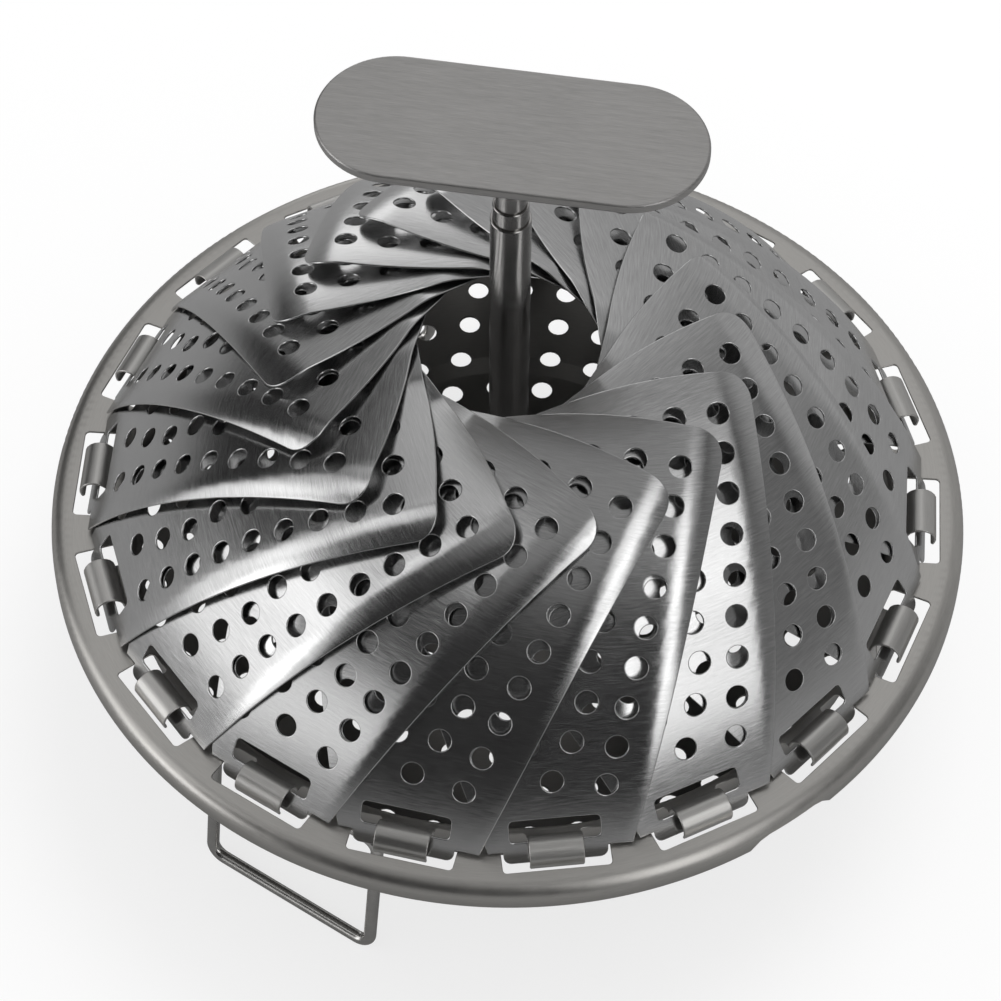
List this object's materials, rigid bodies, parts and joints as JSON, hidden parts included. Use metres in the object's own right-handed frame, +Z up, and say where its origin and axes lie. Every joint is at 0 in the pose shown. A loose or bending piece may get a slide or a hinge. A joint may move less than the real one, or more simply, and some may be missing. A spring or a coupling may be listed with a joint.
{
  "type": "folding steamer basket",
  "caption": "Folding steel steamer basket: perforated dish with hinged petals that open like a flower, fold-down wire legs and a telescopic centre post with a plate handle.",
  "frame": {"origin": "on the ground under the centre of the post, between the three feet", "axes": "+Z up along the post; +X towards the first petal and the first leg"},
  "size_m": [0.1808, 0.1808, 0.1575],
  "materials": {
    "dish_steel": "fine circular brushing",
    "petal_steel": "brushed across the petal",
    "wire_steel": "bright drawn wire",
    "tube_steel": "polished drawn tube",
    "plate_steel": "brushed along its length",
    "small_steel": "plain turned or pressed steel"
  },
  "bodies": {
    "base": {"dish": "dish_steel", "leg_clip_a": "small_steel", "leg_clip_b": "small_steel", "leg_clip_c": "small_steel", "clip_rivets": "small_steel", "post_outer_tube": "tube_steel", "post_plug": "small_steel", "post_screw": "small_steel", "post_washer": "small_steel"},
    "petal_01": {"petal_01": "petal_steel"},
    "petal_02": {"petal_02": "petal_steel"},
    "petal_03": {"petal_03": "petal_steel"},
    "petal_04": {"petal_04": "petal_steel"},
    "petal_05": {"petal_05": "petal_steel"},
    "petal_06": {"petal_06": "petal_steel"},
    "petal_07": {"petal_07": "petal_steel"},
    "petal_08": {"petal_08": "petal_steel"},
    "petal_09": {"petal_09": "petal_steel"},
    "petal_10": {"petal_10": "petal_steel"},
    "petal_11": {"petal_11": "petal_steel"},
    "petal_12": {"petal_12": "petal_steel"},
    "petal_13": {"petal_13": "petal_steel"},
    "petal_14": {"petal_14": "petal_steel"},
    "petal_15": {"petal_15": "petal_steel"},
    "petal_16": {"petal_16": "petal_steel"},
    "petal_17": {"petal_17": "petal_steel"},
    "petal_18": {"petal_18": "petal_steel"},
    "leg_a": {"leg_a": "wire_steel"},
    "leg_b": {"leg_b": "wire_steel"},
    "leg_c": {"leg_c": "wire_steel"},
    "middle_tube": {"post_middle_tube": "tube_steel"},
    "sleeve": {"friction_sleeve": "small_steel"},
    "handle": {"handle_rod": "tube_steel", "handle_weld": "small_steel", "handle_plate": "plate_steel"}
  },
  "joints": [
    {"name": "petal_01_fold", "type": "hinge", "parent": "base", "child": "petal_01", "pos_m": [0.08158, 0, 0.0487], "axis": [0, 1, 0], "range_deg": [0, 100]},
    {"name": "petal_02_fold", "type": "hinge", "parent": "base", "child": "petal_02", "pos_m": [0.07666, 0.0279, 0.0487], "axis": [-0.342, 0.9397, 0], "range_deg": [0, 100]},
    {"name": "petal_03_fold", "type": "hinge", "parent": "base", "child": "petal_03", "pos_m": [0.06249, 0.05244, 0.0487], "axis": [-0.6428, 0.766, 0], "range_deg": [0, 100]},
    {"name": "petal_04_fold", "type": "hinge", "parent": "base", "child": "petal_04", "pos_m": [0.04079, 0.07065, 0.0487], "axis": [-0.866, 0.5, 0], "range_deg": [0, 100]},
    {"name": "petal_05_fold", "type": "hinge", "parent": "base", "child": "petal_05", "pos_m": [0.01417, 0.08034, 0.0487], "axis": [-0.9848, 0.1736, 0], "range_deg": [0, 100]},
    {"name": "petal_06_fold", "type": "hinge", "parent": "base", "child": "petal_06", "pos_m": [-0.01417, 0.08034, 0.0487], "axis": [-0.9848, -0.1736, 0], "range_deg": [0, 100]},
    {"name": "petal_07_fold", "type": "hinge", "parent": "base", "child": "petal_07", "pos_m": [-0.04079, 0.07065, 0.0487], "axis": [-0.866, -0.5, 0], "range_deg": [0, 100]},
    {"name": "petal_08_fold", "type": "hinge", "parent": "base", "child": "petal_08", "pos_m": [-0.06249, 0.05244, 0.0487], "axis": [-0.6428, -0.766, 0], "range_deg": [0, 100]},
    {"name": "petal_09_fold", "type": "hinge", "parent": "base", "child": "petal_09", "pos_m": [-0.07666, 0.0279, 0.0487], "axis": [-0.342, -0.9397, 0], "range_deg": [0, 100]},
    {"name": "petal_10_fold", "type": "hinge", "parent": "base", "child": "petal_10", "pos_m": [-0.08158, 0, 0.0487], "axis": [0, -1, 0], "range_deg": [0, 100]},
    {"name": "petal_11_fold", "type": "hinge", "parent": "base", "child": "petal_11", "pos_m": [-0.07666, -0.0279, 0.0487], "axis": [0.342, -0.9397, 0], "range_deg": [0, 100]},
    {"name": "petal_12_fold", "type": "hinge", "parent": "base", "child": "petal_12", "pos_m": [-0.06249, -0.05244, 0.0487], "axis": [0.6428, -0.766, 0], "range_deg": [0, 100]},
    {"name": "petal_13_fold", "type": "hinge", "parent": "base", "child": "petal_13", "pos_m": [-0.04079, -0.07065, 0.0487], "axis": [0.866, -0.5, 0], "range_deg": [0, 100]},
    {"name": "petal_14_fold", "type": "hinge", "parent": "base", "child": "petal_14", "pos_m": [-0.01417, -0.08034, 0.0487], "axis": [0.9848, -0.1736, 0], "range_deg": [0, 100]},
    {"name": "petal_15_fold", "type": "hinge", "parent": "base", "child": "petal_15", "pos_m": [0.01417, -0.08034, 0.0487], "axis": [0.9848, 0.1736, 0], "range_deg": [0, 100]},
    {"name": "petal_16_fold", "type": "hinge", "parent": "base", "child": "petal_16", "pos_m": [0.04079, -0.07065, 0.0487], "axis": [0.866, 0.5, 0], "range_deg": [0, 100]},
    {"name": "petal_17_fold", "type": "hinge", "parent": "base", "child": "petal_17", "pos_m": [0.06249, -0.05244, 0.0487], "axis": [0.6428, 0.766, 0], "range_deg": [0, 100]},
    {"name": "petal_18_fold", "type": "hinge", "parent": "base", "child": "petal_18", "pos_m": [0.07666, -0.0279, 0.0487], "axis": [0.342, 0.9397, 0], "range_deg": [0, 100]},
    {"name": "leg_a_fold", "type": "hinge", "parent": "base", "child": "leg_a", "pos_m": [0.0728, 0, 0.03405], "axis": [0, 1, 0], "range_deg": [0, 96]},
    {"name": "leg_b_fold", "type": "hinge", "parent": "base", "child": "leg_b", "pos_m": [-0.0364, 0.06305, 0.03405], "axis": [-0.866, -0.5, 0], "range_deg": [0, 96]},
    {"name": "leg_c_fold", "type": "hinge", "parent": "base", "child": "leg_c", "pos_m": [-0.0364, -0.06305, 0.03405], "axis": [0.866, -0.5, 0], "range_deg": [0, 96]},
    {"name": "middle_tube_slide", "type": "slide", "parent": "base", "child": "middle_tube", "axis": [0, 0, 1], "range_m": [-0.003, 0.08]},
    {"name": "handle_slide", "type": "slide", "parent": "middle_tube", "child": "sleeve", "axis": [0, 0, 1], "range_m": [-0.0156, 0.0615]},
    {"name": "handle_swivel", "type": "hinge", "parent": "sleeve", "child": "handle", "pos_m": [0, 0, 0.1083], "axis": [0, 0, 1], "continuous": true}
  ],
  "couplings": [
    {"joint": "petal_02_fold", "follows": "petal_01_fold", "ratio": 1},
    {"joint": "petal_03_fold", "follows": "petal_01_fold", "ratio": 1},
    {"joint": "petal_04_fold", "follows": "petal_01_fold", "ratio": 1},
    {"joint": "petal_05_fold", "follows": "petal_01_fold", "ratio": 1},
    {"joint": "petal_06_fold", "follows": "petal_01_fold", "ratio": 1},
    {"joint": "petal_07_fold", "follows": "petal_01_fold", "ratio": 1},
    {"joint": "petal_08_fold", "follows": "petal_01_fold", "ratio": 1},
    {"joint": "petal_09_fold", "follows": "petal_01_fold", "ratio": 1},
    {"joint": "petal_10_fold", "follows": "petal_01_fold", "ratio": 1},
    {"joint": "petal_11_fold", "follows": "petal_01_fold", "ratio": 1},
    {"joint": "petal_12_fold", "follows": "petal_01_fold", "ratio": 1},
    {"joint": "petal_13_fold", "follows": "petal_01_fold", "ratio": 1},
    {"joint": "petal_14_fold", "follows": "petal_01_fold", "ratio": 1},
    {"joint": "petal_15_fold", "follows": "petal_01_fold", "ratio": 1},
    {"joint": "petal_16_fold", "follows": "petal_01_fold", "ratio": 1},
    {"joint": "petal_17_fold", "follows": "petal_01_fold", "ratio": 1},
    {"joint": "petal_18_fold", "follows": "petal_01_fold", "ratio": 1}
  ]
}
